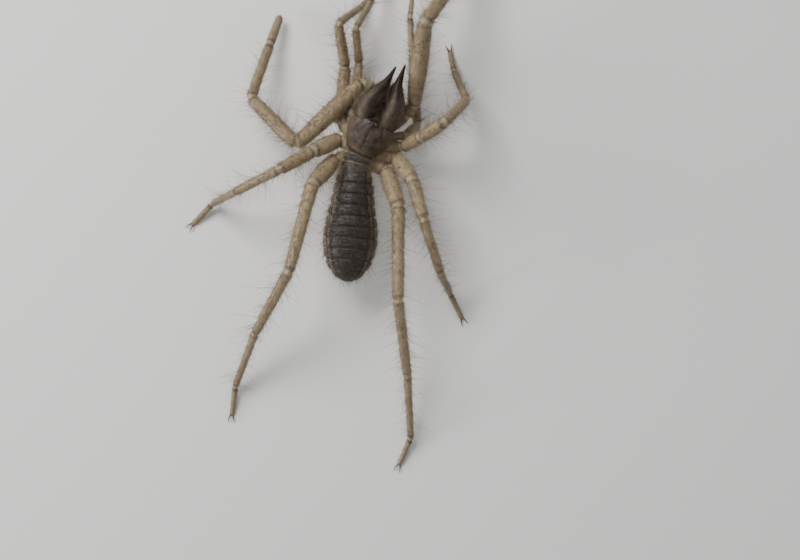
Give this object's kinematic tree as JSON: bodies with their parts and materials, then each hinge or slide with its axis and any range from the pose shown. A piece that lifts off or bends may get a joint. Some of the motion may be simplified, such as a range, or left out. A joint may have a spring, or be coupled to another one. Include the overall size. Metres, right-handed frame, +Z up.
{
  "type": "camel spider model",
  "caption": "Life-size still model of a camel spider on its legs: large pincer jaws, leg-like palps, long hairy legs and a ringed abdomen.",
  "frame": {"origin": "on the floor, under the middle of the model's box", "axes": "+Z up from the floor, +Y along the body towards the head, +X to the animal's right"},
  "size_m": [0.077, 0.1466, 0.0334],
  "materials": {
    "skin": "pale straw coloured skin under fine hairs",
    "head_plate": "dark horny plate, slightly glossy",
    "jaws": "dark brown horny skin with bristles",
    "fangs": "glossy black horn",
    "eyes": "wet black",
    "abdomen": "soft dark grey brown skin with fine hairs"
  },
  "bodies": {
    "root": {"abdomen": "abdomen", "chelicera_left": "jaws", "chelicera_right": "jaws", "eye_left": "eyes", "eye_right": "eyes", "leg_1_left_femur": "skin", "leg_1_left_foot": "skin", "leg_1_left_tibia": "skin", "leg_1_right_femur": "skin", "leg_1_right_foot": "skin", "leg_1_right_tibia": "skin", "leg_2_left_basifemur": "skin", "leg_2_left_femur": "skin", "leg_2_left_foot": "skin", "leg_2_left_tibia": "skin", "leg_2_right_basifemur": "skin", "leg_2_right_femur": "skin", "leg_2_right_foot": "skin", "leg_2_right_tibia": "skin", "leg_3_left_basifemur": "skin", "leg_3_left_femur": "skin", "leg_3_left_foot": "skin", "leg_3_left_tibia": "skin", "leg_3_right_basifemur": "skin", "leg_3_right_femur": "skin", "leg_3_right_foot": "skin", "leg_3_right_tibia": "skin", "leg_4_left_basifemur": "skin", "leg_4_left_femur": "skin", "leg_4_left_foot": "skin", "leg_4_left_tibia": "skin", "leg_4_right_basifemur": "skin", "leg_4_right_femur": "skin", "leg_4_right_foot": "skin", "leg_4_right_tibia": "skin", "mesopeltidium": "skin", "metapeltidium": "skin", "movable_finger_left": "fangs", "movable_finger_right": "fangs", "pedipalp_left_femur": "skin", "pedipalp_left_foot": "skin", "pedipalp_left_tibia": "skin", "pedipalp_right_femur": "skin", "pedipalp_right_foot": "skin", "pedipalp_right_tibia": "skin", "propeltidium": "head_plate", "prosoma": "skin"}
  },
  "joints": []
}
